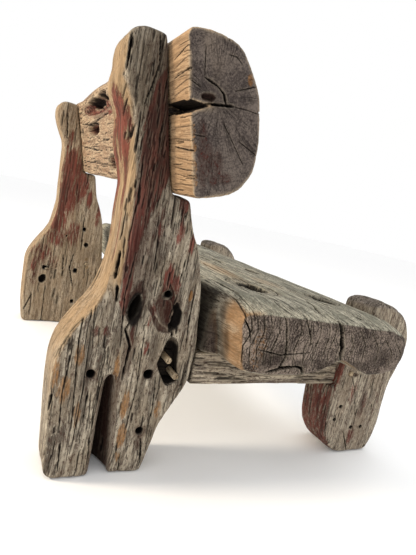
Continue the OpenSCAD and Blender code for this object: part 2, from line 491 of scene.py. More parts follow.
def wood_material(name, colours, end_checks, lines=1.0, specks=0.8):
    """Weathered wood: streaked grain, flaking red paint, rust, end grain, painted sunlight, and
    dark cracks, holes and gaps that are painted shade.

    colours is (dark, pale, tint, warm, end_dark, end_pale), each in sRGB from 0 to 255.
    """
    dark, pale, tint, warm_and_sunlit, end_dark, end_pale = (rgb(*colour) for colour in colours)
    s = Shader(name)
    wood = s.node("ShaderNodeAttribute", attribute_name="wood").outputs["Vector"]
    fibre = s.grain_noise(wood, 70, 2.6, 5, 0.75)
    streak = s.grain_noise(wood, 200, 13, 4, 0.65, 3.1)
    patch = s.grain_noise(wood, 110, 50, 4, 0.65, 7.7)
    flake = s.grain_noise(wood, 42, 6, 7, 0.78, 11.3)
    fine = s.grain_noise(wood, 9, 3.5, 4, 0.7, 5.9)
    speck = s.grain_noise(wood, 12, 5, 5, 0.75, 23.7)
    split = s.grain_noise(wood, 130, 7, 2, 0.5, 19.1)

    # bare wood: grain, broad tint, smudges, specks and thin broken lines
    tone = s.mixed(fibre, 0.5, streak, 0.5)
    colour = s.blend(s.remap(tone, 0.4, 0.585), dark, pale)
    colour = s.blend(s.times(s.remap(patch, 0.46, 0.62), 0.75), colour, tint)
    smudge = s.remap(s.mixed(patch, 0.5, flake, 0.5), 0.44, 0.36)
    colour = s.blend(s.times(smudge, 0.75), colour, darker(dark, 0.55))
    colour = s.blend(s.times(s.remap(speck, 0.52, 0.61), specks), colour, SPECK)
    bleached = tuple(min(1, c * 1.3) for c in pale)
    colour = s.blend(s.times(s.remap(speck, 0.43, 0.34), 0.5), colour, bleached)
    line = s.remap(s.math("ABSOLUTE", s.minus(split, 0.5)), 0.0, 0.02, 1.0, 0.0)
    broken = s.times(s.times(line, s.remap(streak, 0.46, 0.58)), lines)
    colour = s.blend(broken, colour, LINE)

    # warmer wood and painted sunlight, then end grain
    warm_and_sunlit_tone = s.blend(s.remap(tone, 0.38, 0.6), darker(warm_and_sunlit, 0.5), warm_and_sunlit)
    warm_and_sunlit_share = s.times(s.mask("warm_and_sunlit"), s.remap(patch, 0.3, 0.55, 0.6, 1.0))
    colour = s.blend(warm_and_sunlit_share, colour, warm_and_sunlit_tone)
    end_tone = s.blend(s.remap(s.mixed(fine, 0.6, patch, 0.4), 0.4, 0.6), end_dark, end_pale)
    check = end_checks(s, wood)
    end_tone = s.blend(check, end_tone, END_CHECK)
    end = s.mask("end")
    colour = s.blend(end, colour, end_tone)

    # rust, and paint that flakes off along the grain and off the proud edges
    flaking = s.minus(flake, 0.5)
    rust = s.remap(s.plus(s.mask("rust"), s.times(flaking, 2.4)), 0.42, 0.8)
    rust_tone = s.blend(s.remap(fine, 0.35, 0.65), RUST_DARK, RUST_PALE)
    colour = s.blend(s.times(rust, 0.75), colour, rust_tone)
    thin = s.plus(s.mask("paint"), s.times(flaking, 2.6))
    thin = s.plus(thin, s.times(s.minus(fibre, 0.5), 1.2))
    thin = s.minus(thin, s.times(s.mask("edge"), 0.3))
    painted = s.math("GREATER_THAN", s.mask("paint"), 0.02)
    paint = s.times(s.remap(thin, 0.38, 0.72), painted)
    red = s.blend(s.remap(streak, 0.38, 0.62), PAINT_DARK, PAINT_PALE)
    colour = s.blend(s.times(paint, 0.9), colour, red)

    # staining and grime, which also carry painted shade, rubbed edges, and painted shade in cracks,
    # holes and gaps
    colour = s.blend(s.times(s.mask("stain_and_shade"), s.remap(fine, 0.3, 0.6, 0.8, 1.0)), colour, STAIN_AND_SHADE)
    colour = s.blend(s.times(s.mask("dirt_and_shade"), 0.6), colour, DIRT_AND_SHADE)
    colour = s.blend(s.times(s.mask("edge"), 0.2), colour, RUBBED)
    colour = s.blend(s.mask("crack_shade"), colour, CRACK_SHADE)

    height = s.mixed(fibre, 0.8, fine, 0.4)
    height = s.minus(height, s.times(broken, 1.1))
    height = s.minus(height, s.times(s.times(check, end), 1.4))
    height = s.plus(height, s.times(paint, 0.3))
    bump = s.node("ShaderNodeBump", {"Strength": 0.9, "Distance": 0.002, "Height": height})
    return s.surface(colour, s.remap(tone, 0.3, 0.7, 0.92, 0.74), Normal=bump.outputs[0])


def block_checks(s, wood, wide=8.0, tall=22.0):
    """End grain split by long wavy upright checks, with shorter breaks between them."""
    parts = s.node("ShaderNodeSeparateXYZ", {0: wood})
    slow = s.noise(wood, 22.0, 4.0)
    some = s.noise(wood, 34.0, 2.0, Distortion=1.0)
    column = s.mixed(parts.outputs[1], 1000 / wide, slow, 6.0)
    row = s.mixed(parts.outputs[2], 1000 / tall, some, 3.0)
    row = s.plus(row, s.times(s.math("FLOOR", column), 0.37))
    to_side = s.math("DIVIDE", s.math("PINGPONG", column, 0.5), s.remap(some, 0.38, 0.6, 0.03, 0.2))
    to_break = s.math("DIVIDE", s.math("PINGPONG", row, 0.5), s.remap(some, 0.42, 0.66, 0.01, 0.12))
    upright = s.math("SUBTRACT", 1.0, to_side, clamp=True)
    level = s.math("SUBTRACT", 1.0, to_break, clamp=True)
    return s.math("MAXIMUM", upright, s.times(level, 0.8))


def ray_checks(s, wood, heart=(-0.05, 0.165)):
    """End grain with checks that run out from the heart, crossed by faint rings."""
    shift = (0.0, -heart[0], -heart[1])
    centred = s.node("ShaderNodeMapping", {"Vector": wood, "Location": shift}).outputs[0]
    parts = s.node("ShaderNodeSeparateXYZ", {0: centred})
    across, up = parts.outputs[1], parts.outputs[2]
    angle = s.math("ARCTAN2", up, across)
    radius = s.math("SQRT", s.plus(s.times(across, across), s.times(up, up)))
    ray_at = s.node("ShaderNodeCombineXYZ", {0: s.times(angle, 11.0), 1: s.times(radius, 9.0)})
    ray = s.noise(ray_at.outputs[0], 1.0, 3.0)
    line = s.remap(s.math("ABSOLUTE", s.minus(ray, 0.5)), 0.0, 0.028, 1.0, 0.0)
    ring_at = s.node("ShaderNodeCombineXYZ", {0: s.times(radius, 220.0), 1: angle})
    ring = s.remap(s.noise(ring_at.outputs[0], 1.0, 2.0), 0.56, 0.68)
    line = s.times(line, s.remap(s.noise(wood, 16.0, 2.0), 0.4, 0.6, 0.1, 0.65))
    return s.math("MAXIMUM", line, s.times(ring, 0.3))


UPRIGHT_COLOURS = ((72, 63, 55), (186, 174, 154), (132, 119, 101),
                   (170, 142, 108), (84, 75, 68), (148, 138, 125))
LOG_COLOURS = ((104, 82, 65), (184, 160, 130), (148, 120, 95),
               (178, 144, 108), (68, 60, 57), (112, 101, 93))
SLAB_COLOURS = ((62, 60, 52), (190, 183, 162), (118, 116, 101),
                (162, 122, 82), (58, 48, 43), (146, 131, 118))
RAIL_COLOURS = ((76, 66, 60), (192, 178, 156), (148, 134, 115),
                (188, 162, 126), (84, 74, 66), (146, 134, 119))
LEG_COLOURS = ((94, 83, 73), (188, 175, 154), (140, 125, 107),
               (176, 142, 102), (76, 68, 62), (148, 136, 124))
PEG_COLOURS = ((140, 116, 88), (206, 188, 158), (184, 160, 124),
               (206, 182, 144), (132, 112, 88), (192, 172, 142))


# ---------------------------------------------------------------- timbers

OUT_NEAR = (-1, 0, 0)
OUT_FAR = (1, 0, 0)
FRONT = (0, -1, 0)
BACK = (0, 1, 0)
UP = (0, 0, 1)
DOWN = (0, 0, -1)

BOARD_OUT = 570.0
BOARD_T = 116
SLOT_MIDDLE = 375.0
SLOT_HALF = 27
SLOT_TOP = 245.0
SPIKE_HOLES = [(426, 237), (301, 238), (292, 420), (295, 101)]
EYE = (359, 386)
EYE_RADII = (24, 46)
BROKEN_CHEEK = (250, 245)
LEDGE = (329.0, 640.0)
LEDGE_SLOPE = 0.24


def sunk_below(t, side):
    """How far each point lies inside an upright's outer face. side is -1 or 1 in X."""
    return BOARD_OUT - side * t.co[:, 0]


def worn_rear_edge(t, size, z_low, z_high):
    """Bevels the far upright's rear outer edge between two heights."""
    x, y, z = t.co.T
    rows = np.floor((z - t.low[2]) / 5).astype(int)
    rear = np.full(rows.max() + 1, -1e9)
    np.maximum.at(rear, rows, y)
    inwards = t.high[0] - x
    size = size * fade(z, z_low, z_low + 60) * (1 - fade(z, z_high - 40, z_high))
    over = y - rear[rows] + size - inwards
    over = np.where((size > 1) & (np.abs(inwards) < 40), np.clip(over, 0, None), 0)
    x -= over / 2
    y -= over / 2
    t.find_normals()


def carve_strip(t, line, slope=0.75):
    """Cuts the broad worn strip behind a corner line (y, z) on the near upright's outer face."""
    x, y, z = t.co.T
    over = np.clip(y - corner_at(line, z), 0, None)
    over = over * fade(z, 396, 460) * (1 - fade(z, 880, 900))
    x[:] = np.where(over > 0, np.maximum(x, slope * over - BOARD_OUT), x)
    t.find_normals()


def corner_at(line, z):
    """The corner line's y at each height."""
    line = np.array(sorted(line, key=lambda p: p[1]), float)
    return np.interp(z, line[:, 1], line[:, 0])


def wear_upright(t):
    """Rounds an upright's edges, but keeps the shapes of its holes."""
    t.smooth(6)
    points = t.flat(OUT_NEAR)
    gap = np.full(len(t.co), 1e9)
    eye_ends = [(EYE[0], EYE[1] + 24), (EYE[0], EYE[1] - 24)]
    cheek_parts = [BROKEN_CHEEK, (250, 275), (235, 230)]
    for centre in SPIKE_HOLES + [EYE] + eye_ends + cheek_parts:
        gap = np.minimum(gap, np.linalg.norm(points - centre, axis=1))
    t.smooth(26, share=fade(gap, 22, 50))
    t.refit()


def slot_walls(t, side, shift=24, marked_to=2.0):
    """Narrows the foot's slot inwards by shift, and paints dark reddish shade onto its walls to a
    share of their depth.
    """
    y, z = t.co.T[1:]
    deep = sunk_below(t, side) / BOARD_T
    within = (np.abs(y - SLOT_MIDDLE) < SLOT_HALF) & (z < SLOT_TOP)
    within &= np.abs(t.normal[:, 1]) > 0.2
    front_wall = within & (t.normal[:, 1] > 0)
    y += front_wall * shift * fade(deep, 0.15, 0.8)
    t.find_normals()
    within = within * (1 - fade(deep, marked_to - 0.2, marked_to))
    t.mark("stain_and_shade", within * (0.55 + 0.45 * fade(deep, 0.02, 0.3)))
    t.mark("crack_shade", within * 0.75 * fade(deep, 0.1, 0.55))


def funnel_eye(t, side):
    """The eye narrows inwards to a small hole."""
    y, z = t.co.T[1:]
    points = (t.flat(OUT_NEAR) - EYE) / EYE_RADII
    deep = fade(sunk_below(t, side), 20, 70) * (np.linalg.norm(points, axis=1) < 1.1)
    y += (EYE[0] - y) * 0.62 * deep
    z += (EYE[1] - 6 - z) * 0.8 * deep
    t.find_normals()


def square_holes(t, face):
    """Paints shade into the spike holes and grimes their rims."""
    points = t.flat(face)
    depth = sunk_below(t, face[0])
    sunk = fade(depth, 2, 7) * (depth < 100)
    for centre in SPIKE_HOLES:
        reach = np.abs(points - centre).max(1)
        t.mark("crack_shade", (reach < 11) * sunk)
        t.mark("stain_and_shade", (1 - fade(reach, 8, 19)) * 0.5 * (depth < 100))


def dark_opening(t, face, centre, radii, shallow, deep):
    """Paints shade onto what lies below a face inside an ellipse, from one depth to another."""
    points = (t.flat(face) - centre) / radii
    depth = sunk_below(t, face[0])
    sunk = fade(depth, shallow, deep) * (depth < 108)
    t.mark("crack_shade", (1 - fade(np.linalg.norm(points, axis=1), 0.9, 1.15)) * sunk * 0.95)


def dark_eye(t, face):
    """Paints shade into the eye from just above the face, because its rim is worn away."""
    dark_opening(t, face, (EYE[0], EYE[1] - 4), (15, 36), -14, -7)


# All marks on a face are in the two coordinates seen straight on, in millimetres: (y, z) on the
# outer faces, (x, z) on backs and (x, y) on tops. Cracks are (path, width, depth) and spots are
# (centre, radii) or (centre, radii, strength).

NEAR_CORNER = [(462, 897), (459, 816), (436, 774), (421, 726), (407, 650), (397, 544), (397, 482),
               (398, 399)]
NEAR_CRACKS = [
    ([(410, 496), (410, 440)], 4.6, 12), ([(404, 428), (401, 394)], 4.6, 12),
    ([(366, 353), (372, 338), (356, 302), (358, 265), (359, 226)], 4, 10),
    ([(475, 390), (480, 331), (487, 300)], 1.6, 4),
    ([(456, 400), (461, 319), (454, 227), (447, 120)], 1.8, 4),
    ([(495, 196), (498, 158)], 4, 6), ([(463, 86), (459, 22)], 3, 5),
    ([(425, 200), (425, 132)], 2.5, 5), ([(270, 500), (274, 446)], 2, 5),
    ([(266, 339), (263, 304)], 3.5, 9), ([(235, 450), (232, 366), (227, 306)], 2, 4),
    ([(214, 250), (224, 160)], 2.2, 5), ([(282, 230), (275, 156), (278, 108)], 1.8, 4),
    ([(364, 68), (362, 30)], 3, 5), ([(290, 85), (279, 22)], 3, 5),
    ([(460, 898), (459, 816)], 3, 8), ([(410, 902), (401, 851), (407, 811), (416, 775)], 2.4, 6),
    ([(420, 760), (416, 686)], 4, 4), ([(340, 540), (336, 470)], 1.8, 3),
    ([(300, 470), (300, 440)], 2, 3), ([(400, 690), (396, 600), (400, 520)], 2.2, 3),
    ([(380, 500), (386, 410), (376, 300)], 1.8, 3), ([(440, 340), (436, 200), (440, 60)], 1.6, 3),
    ([(330, 340), (322, 200), (330, 100)], 1.6, 3), ([(470, 300), (476, 200), (470, 110)], 1.8, 3),
    ([(252, 300), (250, 210)], 2, 4), ([(400, 240), (404, 100), (400, 30)], 1.5, 3),
    ([(320, 640), (318, 560)], 1.8, 3),
]
NEAR_HOLLOW = [(310, 450), (272, 402), (258, 368), (266, 337), (299, 346), (331, 395)]
NEAR_HOLLOW_GASH = [(268, 404), (262, 374), (272, 338)]
NEAR_HOLLOW_RIMS = [[(333, 402), (318, 372), (296, 344), (270, 336)],
                    [(292, 440), (276, 404), (262, 372)]]
NEAR_EYE_RIM = [(372, 352), (388, 372), (386, 410), (366, 450), (346, 452), (334, 410), (340, 362)]
NEAR_BAND_LEFT = [(391, 850), (410, 776), (409, 704), (402, 652), (401, 575), (402, 509),
                  (400, 442), (389, 356)]
NEAR_BAND_RIGHT = [(375, 853), (350, 790), (330, 690), (350, 616), (362, 582), (376, 513),
                   (376, 445), (374, 357)]
NEAR_PAINT = [
    ((297, 619), (16, 50), 0.75), ((295, 561), (12, 44), 0.7), ((263, 538), (10, 40), 0.75),
    ((290, 415), (26, 40), 0.6), ((320, 372), (12, 36), 0.6), ((400, 640), (12, 90), 0.6),
    ((340, 560), (14, 60), 0.55), ((356, 300), (8, 70), 0.7), ((318, 300), (10, 22), 0.6),
    ((432, 330), (9, 18), 0.6), ((410, 330), (8, 18), 0.6), ((300, 700), (30, 70), 0.5),
    ((300, 452), (14, 44), 0.95), ((283, 446), (14, 30), 0.8), ((284, 388), (13, 44), 0.7),
]
NEAR_DIRT = [((345, 400), (20, 70)), ((386, 330), (14, 60)), ((300, 290), (12, 50)),
             ((262, 470), (10, 50)), ((330, 500), (16, 60)), ((432, 420), (10, 50)),
             ((280, 200), (16, 50)), ((440, 250), (12, 60)), ((312, 190), (9, 60))]
NEAR_RUST = [((342, 170), (12, 44), 0.95), ((336, 92), (13, 40), 1.0), ((336, 44), (8, 20)),
             ((475, 206), (18, 40)), ((455, 280), (14, 34)), ((263, 155), (12, 30)),
             ((241, 422), (8, 16)), ((494, 240), (9, 44)), ((375, 240), (10, 60)),
             ((440, 150), (10, 40))]
NEAR_STAINS = [((293, 76), (10, 26), 0.85), ((362, 480), (34, 130)), ((356, 290), (12, 80))]
NEAR_BACK_PAINT = [((-520, 745), (38, 70), 1.0), ((-540, 650), (14, 110), 0.9),
                   ((-520, 720), (24, 80), 0.8), ((-480, 640), (24, 150), 0.75),
                   ((-548, 560), (8, 130), 0.6)]


def near_upright(material):
    t = Timber("right_upright", 3.4, grain=2, seed=1)
    wear_upright(t)
    strip = (t.normal[:, 1] > 0.4) & (t.co[:, 2] > 380) & (t.co[:, 0] < -500)
    t.refine((t.normal[:, 0] < -0.5) | strip)
    carve_strip(t, NEAR_CORNER)
    bulge_neck(t)
    t.smooth(2)
    t.weather(wave=3.2, ridge=0.8)
    # Painted shade on the walls of the foot's slot.
    slot_walls(t, -1)
    funnel_eye(t, -1)
    t.grooves(OUT_NEAR, NEAR_CRACKS)
    near_hollow(t)
    colour_near_upright(t)
    # Painted shade inside the spike holes, the eye and the broken cheek, with grime on the hole
    # rims.
    square_holes(t, OUT_NEAR)
    t.spot("stain_and_shade", OUT_NEAR, (EYE[0] - 3, EYE[1] + 28), (17, 30))
    dark_eye(t, OUT_NEAR)
    dark_opening(t, OUT_NEAR, (252, 258), (40, 48), 3, 11)
    t.checks(OUT_NEAR, 70, 80, keep=t.co[:, 2] < 880)
    t.checks(OUT_NEAR, 110, 30, width=2.6, depth=1.6)
    t.checks(OUT_NEAR, 90, 34, width=2.4, depth=2.0, keep=t.co[:, 2] > 560)
    common_checks(t)
    t.spot("paint", OUT_FAR, (390, 560), (40, 120), 0.6)
    return t.finish(material)


def bulge_neck(t):
    """The back of the near upright's neck swells towards its inner face."""
    x, y, z = t.co.T
    y += 20 * t.facing(BACK) * fade(x, -564, -528) * fade(z, 620, 720) * (1 - fade(z, 790, 850))
    t.find_normals()


def near_hollow(t):
    """The rotted hollow beside the eye, with a gash and stained rims, and the eye's worn rim."""
    t.hollow(OUT_NEAR, NEAR_HOLLOW, 7, 16, strength=0.85)
    t.spot("stain_and_shade", OUT_NEAR, (278, 382), (26, 50))
    t.groove(OUT_NEAR, NEAR_HOLLOW_GASH, 15, 16)
    t.hollow(OUT_NEAR, NEAR_EYE_RIM, 4, 12, strength=0.95)
    for path in NEAR_HOLLOW_RIMS:
        t.groove(OUT_NEAR, path, 11, 4, dark=0.8, name="stain_and_shade")


def colour_near_upright(t):
    """Red paint, rust, grime, painted sunlight on the worn strip and the back, painted shade with
    some grime on the upper outer face under the log, and the dark front of the neck, which is
    painted shade with some staining.
    """
    t.band("paint", OUT_NEAR, NEAR_BAND_LEFT, NEAR_BAND_RIGHT, strength=0.95)
    t.spots("paint", OUT_NEAR, NEAR_PAINT)
    t.spots("dirt_and_shade", OUT_NEAR, NEAR_DIRT, 0.75)
    t.spots("rust", OUT_NEAR, NEAR_RUST, 0.74)
    t.spots("stain_and_shade", OUT_NEAR, NEAR_STAINS, 0.6)
    t.spots("paint", BACK, NEAR_BACK_PAINT)
    y, z = t.co.T[1:]
    outer = t.facing(OUT_NEAR)
    behind = fade(y - corner_at(NEAR_CORNER, z), -3, 4)
    # Painted sunlight: the worn strip and the back below it face the key and are coloured tan.
    t.mark("warm_and_sunlit", behind * fade(z, 380, 470))
    t.mark("warm_and_sunlit", t.facing(BACK) * behind * fade(z, 120, 380))
    # Painted shade from the overhanging log, with some grime, darkens the upper outer face off the
    # strip.
    t.mark("dirt_and_shade", outer * 0.85 * fade(z, 520, 670) * (1 - t.masks["warm_and_sunlit"]))
    # Painted shade beside the log, with some staining, darkens the front of the neck.
    neck = fade(z, 640, 680) * (1 - fade(z, 860, 900))
    front_edge = 1 - fade(y - LEDGE[0] - LEDGE_SLOPE * (z - LEDGE[1]), 22, 44)
    t.mark("stain_and_shade", 0.42 * outer * neck * front_edge)


def common_checks(t):
    t.checks(OUT_FAR, 40, 120, width=2)
    t.checks(BACK, 26, 90)
    t.checks(FRONT, 20, 110, width=2)


FAR_PAINT = [
    ((386, 650), (40, 120), 0.9), ((330, 600), (40, 90), 0.8), ((391, 542), (44, 90), 0.95),
    ((417, 448), (60, 70), 0.85), ((399, 375), (60, 60), 0.65), ((335, 392), (40, 80), 0.65),
    ((400, 760), (30, 60), 0.6), ((366, 600), (60, 190), 0.74), ((292, 549), (16, 50), 0.85),
    ((246, 487), (14, 60), 0.8), ((488, 319), (20, 36), 0.55), ((402, 261), (40, 50), 0.45),
    ((458, 189), (40, 50), 0.4), ((440, 300), (40, 60), 0.62), ((462, 240), (24, 70), 0.6),
]
FAR_CRACKS = [([(319, 309), (327, 249), (304, 171)], 3, 5), ([(461, 117), (484, 50)], 3, 6),
              ([(427, 863), (416, 769)], 2.5, 5), ([(300, 470), (292, 330)], 3, 6),
              ([(360, 300), (350, 200)], 2, 4)]
FAR_OUTER_PAINT = [((380, 640), (34, 170), 0.85), ((300, 520), (24, 80), 0.6)]
FAR_OUTER_RUST = [((460, 200), (16, 60)), ((330, 110), (10, 50)), ((250, 420), (9, 30))]
FAR_PEG_ENDS = [(261, 293), (256, 259)]


def far_upright(material):
    t = Timber("left_upright", 3.2, grain=2, seed=2)
    inner = OUT_NEAR
    worn_rear_edge(t, 20, 380, 880)
    wear_upright(t)
    t.weather(wave=3.2, ridge=0.9)
    close_far_slot(t)
    funnel_eye(t, 1)
    t.spots("paint", inner, FAR_PAINT)
    # Painted light, coloured tan: bounce light on the inner face and sunlight on the back.
    t.mark("warm_and_sunlit", t.facing(inner) * 0.45)
    t.mark("warm_and_sunlit", t.facing(BACK) * 0.7)
    t.pit(inner, (274, 355), (9, 10), 14)
    t.pit(inner, (428, 188), (14, 20), 22, lean=20)
    t.grooves(inner, FAR_CRACKS)
    for centre in FAR_PEG_ENDS:
        t.pit(inner, centre, (9, 9), 1.5, name="warm_and_sunlit")
    t.spots("paint", OUT_FAR, FAR_OUTER_PAINT)
    t.spots("rust", OUT_FAR, FAR_OUTER_RUST, 0.62)
    # Painted shade inside the spike holes and the eye, with grime on the hole rims.
    square_holes(t, OUT_FAR)
    dark_eye(t, OUT_FAR)
    t.checks(OUT_FAR, 60, 120, width=2)
    t.checks(inner, 30, 90, width=2)
    common_checks(t)
    return t.finish(material)


def close_far_slot(t):
    """Closes the far foot's slot to a narrow split on the inner face, with painted shade on its
    walls, and evens out that face.
    """
    slot_walls(t, 1, shift=46, marked_to=0.9)
    x, y, z = t.co.T
    patch = (np.abs(y - SLOT_MIDDLE - 4) < 40) * (z < SLOT_TOP + 16) * (x < BOARD_OUT - 108)
    t.smooth(150, share=patch.astype(float))


LOG_HINGE = Vector((0.0, *LEDGE))
LOG_RECLINE = np.radians(-13.5)
LOG_RISE = np.radians(-1.5)
LOG_H = 272
KERF_Z = 160

LOG_END_CHECKS = [
    [(-78, 160), (-138, 148)], [(-88, 102), (-138, 72)], [(-28, 209), (-31, 254)],
    [(-69, 243), (-82, 240), (-93, 229)], [(-60, 130), (-100, 60)], [(-80, 185), (-126, 196)],
    [(-20, 190), (-4, 200)], [(-4, 112), (-26, 108)],
]
LOG_END_STAINS = [((-22, 110), (9, 30)), ((-30, 70), (14, 34)), ((-48, 60), (12, 30)),
                  ((-62, 36), (16, 12)), ((-40, 34), (12, 14)), ((-18, 60), (10, 50))]
# checks across the near end of the log's back: (height, lift, width)
LOG_BACK_CHECKS = [(250, 8, 1.6), (234, 7, 1.0), (216, 5, 2.2), (198, 6, 1.0), (186, 5, 0.9),
                   (126, 0, 0.9), (104, -3, 1.0), (88, -4, 2.6), (70, -3, 0.9), (52, -2, 1.0),
                   (40, -2, 0.9), (24, 1, 1.0)]
LOG_BACK_HOLES = [((192, 158), 92), ((-56, 53), 50), ((420, 150), 30)]
# long cracks in the log's back: (path, width)
LOG_BACK_CRACKS = [
    ([(430, 100), (330, 98), (200, 90), (70, 86)], 3), ([(489, 50), (300, 46), (-41, 44)], 2.4),
    ([(460, 30), (300, 26), (120, 30)], 2), ([(420, 186), (260, 176), (100, 184), (-60, 196)], 3.4),
    ([(330, 170), (240, 176), (150, 184)], 2.6), ([(60, 120), (-60, 118)], 2),
    ([(-120, 100), (-300, 96)], 2.4), ([(-200, 180), (-420, 188)], 2.4),
]


def log_place():
    """The log's own frame: X along it, Y out of its flat back, Z up its section."""
    turn = Matrix.Rotation(LOG_RECLINE, 4, "X") @ Matrix.Rotation(LOG_RISE, 4, "Y")
    return Matrix.Translation(LOG_HINGE) @ turn


def headrest_log(material):
    t = Timber("headrest_log", 4.0, grain=0, seed=3, place=log_place())
    shape_log(t)
    normal = t.normal
    finer = (normal[:, 0] < -0.3) | (normal[:, 1] > 0.4) | (normal[:, 2] > 0.6)
    t.refine((t.co[:, 0] < -560) & finer, cuts=2)
    t.weather(wave=2.2, ridge=0.7)
    log_end(t)
    log_back(t)
    t.checks(BACK, 110, 150, width=1.8, keep=np.abs(t.co[:, 0]) < 470)
    t.checks(BACK, 30, 60, width=1.0, keep=np.abs(t.co[:, 0]) > 580)
    t.checks(FRONT, 70, 150, width=2)
    t.checks(UP, 24, 140, width=2)
    return t.finish(material)


def shape_log(t):
    """The near end is cut askew, its kerf tapers inwards, and the top edge is arched."""
    near = fade(-t.co[:, 0], 500, 670)
    rear = 1 - fade(-t.co[:, 1], 0, 110)
    t.co[:, 0] += near * 26 * rear * np.clip(t.co[:, 2], 0, LOG_H) / LOG_H
    gap = t.co[:, 2] - KERF_Z
    narrow = fade(-t.co[:, 1], 2, 34) * (1 - fade(-t.co[:, 1], 38, 60)) * (t.co[:, 0] < -500)
    t.co[:, 2] -= 0.8 * narrow * np.clip(gap, -9, 9) * (1 - fade(np.abs(gap), 9, 34))
    t.find_normals()
    t.smooth(8)
    t.smooth(34, share=near * fade(-t.co[:, 1], 16, 60))
    t.refit()
    t.co[:, 2] += 12 * (1 - fade(t.co[:, 0], 150, 430)) * fade(t.co[:, 2], 180, LOG_H)
    t.find_normals()


def log_end(t):
    """The near end: the kerf with painted shade inside and its curved split, fine checks, a pale
    rim, rust and paint.
    """
    face = OUT_NEAR
    t.groove(face, [(-30, 163), (-78, 160)], 3.4, 14)
    t.groove(face, [(-64, 160), (-60, 180), (-49, 193), (-28, 206)], 2.6, 8)
    t.pit(face, (-34, 174), (13, 8), 14, name="stain_and_shade", dark=0.8)
    x, y, z = t.co.T
    # Painted shade on the walls inside the kerf.
    kerf = (np.abs(z - KERF_Z) < 12) * (y > -44) * (y < -2) * (x < -520)
    t.mark("crack_shade", 0.97 * kerf * (1 - t.facing(face)))
    for path in LOG_END_CHECKS:
        t.groove(face, path, 0.8, 2, dark=0.8)
    outward = -t.normal[:, 0]
    rim = fade(outward, 0.2, 0.5) * (1 - fade(outward, 0.8, 0.98)) * (t.co[:, 0] < -600)
    t.mark("edge", rim)
    t.masks["end"] *= 1 - 0.35 * rim
    t.spot("rust", face, (-111, 206), (9, 16), 0.8)
    t.spots("rust", face, [((-5, height), (6, 18)) for height in (35, 60, 90, 118)], 0.6)
    t.spots("stain_and_shade", face, LOG_END_STAINS, 0.5)
    t.spots("paint", face, LOG_END_STAINS, 0.35)


def log_back(t):
    """The flat back: painted sunlight at its ends, a painted rotted hollow, holes and long cracks.
    """
    # Painted sunlight on the ends of the back, which face the key.
    t.mark("warm_and_sunlit", t.facing(BACK) * (np.abs(t.co[:, 0]) > 556) * 0.9)
    for z, lift, width in LOG_BACK_CHECKS:
        path = [(-672, z + lift), (-640, z + lift * 0.6), (-580, z - lift)]
        t.groove(BACK, path, width, 1.5 * width, dark=0.9 if width > 1.5 else 0.6)
    t.pit(BACK, (140, 226), (250, 28), 26, name="paint", dark=0.85)
    t.pit(BACK, (190, 240), (85, 16), 24, dark=0.95, rim=0.8)
    t.pit(BACK, (40, 252), (56, 12), 22, dark=0.95, rim=0.8)
    t.spot("paint", BACK, (60, 212), (300, 32), 0.9)
    for (x, z), reach in LOG_BACK_HOLES:
        t.pit(BACK, (x, z), (reach, 20), 38, name="paint", rim=0.88)
        t.pit(BACK, (x - 0.2 * reach, z + 5), (reach * 0.85, 16), 8, dark=0.95, rim=0.7)
    t.grooves(BACK, [(path, width, 2.2 * width) for path, width in LOG_BACK_CRACKS])
    for x in (100, 50, 10, -40, -90):
        t.groove(BACK, [(x + 70, 236), (x, 198)], 6, 6, dark=0.5)


SLAB_BASE = 290
SLAB_T = 140

SLAB_KNOTS = [((-465, 20), 42, 1), ((-480, -215), 36, 1), ((-146, -184), 26, 1),
              ((-10, -113), 22, 1), ((300, 60), 34, 1), ((420, -220), 30, 1)]
SLAB_RINGED_KNOTS = [((-465, 20), 1.0), ((-480, -215), 0.7), ((300, 60), 0.8)]
SLAB_PITS = [((-146, -184), (46, 20), 22), ((-10, -113), (40, 15), 16), ((-560, -160), (14, 9), 8),
             ((-383, -60), (16, 9), 5), ((-640, -200), (9, 8), 4)]
SLAB_END_CRACKS = [
    ([(-90, 440), (-97, 408), (-115, 368), (-121, 330)], 9, 42),
    ([(90, 300), (46, 311), (10, 316), (-8, 312), (-22, 290)], 6, 20),
    ([(70, 430), (63, 413), (52, 370), (45, 337), (60, 300)], 3.4, 9),
    ([(10, 430), (8, 420), (-12, 386), (-18, 366)], 3, 8),
    ([(163, 412), (150, 390), (146, 376)], 2.6, 7), ([(-60, 420), (-66, 390), (-60, 340)], 2, 6),
    ([(120, 352), (60, 342), (-20, 350)], 2, 5),
]
SLAB_END_CHECKS = [
    [(-130, 404), (-150, 372), (-146, 330)], [(-160, 410), (-190, 376), (-190, 330)],
    [(-200, 408), (-236, 372), (-240, 322)], [(-250, 396), (-290, 360), (-288, 320)],
    [(-290, 392), (-330, 356), (-322, 320)],
]
SLAB_END_UPRIGHT_CHECKS = (152, 138, 122, 104, 84, 24, -4, -32, -78, -104)
SLAB_END_DIRT = [((100, 330), (22, 26)), ((56, 345), (24, 26)), ((-4, 322), (30, 14)),
                 ((-66, 322), (30, 16)), ((-250, 345), (40, 26)), ((-180, 320), (40, 16))]
SLAB_BACK_SHADE = [((-628, 345), (14, 40)), ((-606, 400), (16, 24)), ((-612, 312), (16, 20))]
